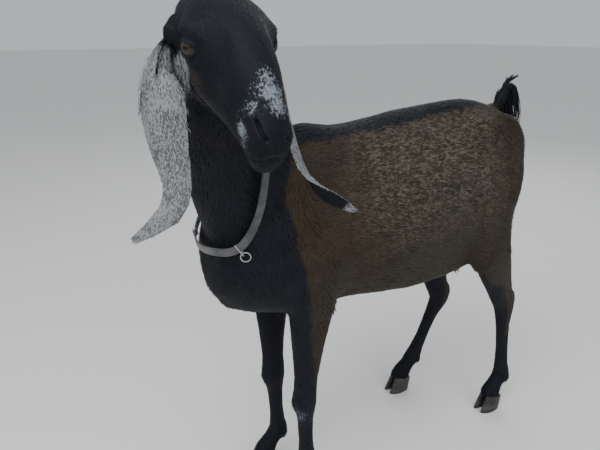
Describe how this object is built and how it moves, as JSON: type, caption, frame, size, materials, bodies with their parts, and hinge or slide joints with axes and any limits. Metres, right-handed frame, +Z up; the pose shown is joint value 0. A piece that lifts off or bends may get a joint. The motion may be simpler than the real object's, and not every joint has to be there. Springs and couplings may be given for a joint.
{
  "type": "goat figure",
  "caption": "Still life-size standing doe of a long-eared dairy goat breed, head turned to its left, with long hanging ears, arched nose, raised short tail and a loose neck strap.",
  "frame": {"origin": "on the floor, under the middle of the whole figure's footprint box", "axes": "+Z is up, the goat stands facing -Y and looks towards +X, which is its left side"},
  "size_m": [0.45, 0.9152, 0.9749],
  "materials": {
    "coat_brown": "short smooth hair",
    "coat_black": "short glossy hair",
    "ear_roan": "very short soft hair",
    "horn": "dull horn",
    "eye_amber": "wet and glossy",
    "strap_grey": "worn flat webbing",
    "steel": "worn"
  },
  "bodies": {
    "root": {"torso": "coat_brown", "neck": "coat_black", "head": "coat_black", "ear_left": "ear_roan", "ear_right": "ear_roan", "eye_left": "eye_amber", "eye_right": "eye_amber", "foreleg_left": "coat_brown", "foreleg_right": "coat_brown", "hindleg_left": "coat_brown", "hindleg_right": "coat_brown", "tail": "coat_black", "claw_fore_left_inner": "horn", "claw_fore_left_outer": "horn", "claw_fore_right_inner": "horn", "claw_fore_right_outer": "horn", "claw_hind_left_inner": "horn", "claw_hind_left_outer": "horn", "claw_hind_right_inner": "horn", "claw_hind_right_outer": "horn", "strap": "strap_grey", "strap_keeper": "steel", "strap_ring": "steel", "strap_buckle": "steel"}
  },
  "joints": []
}
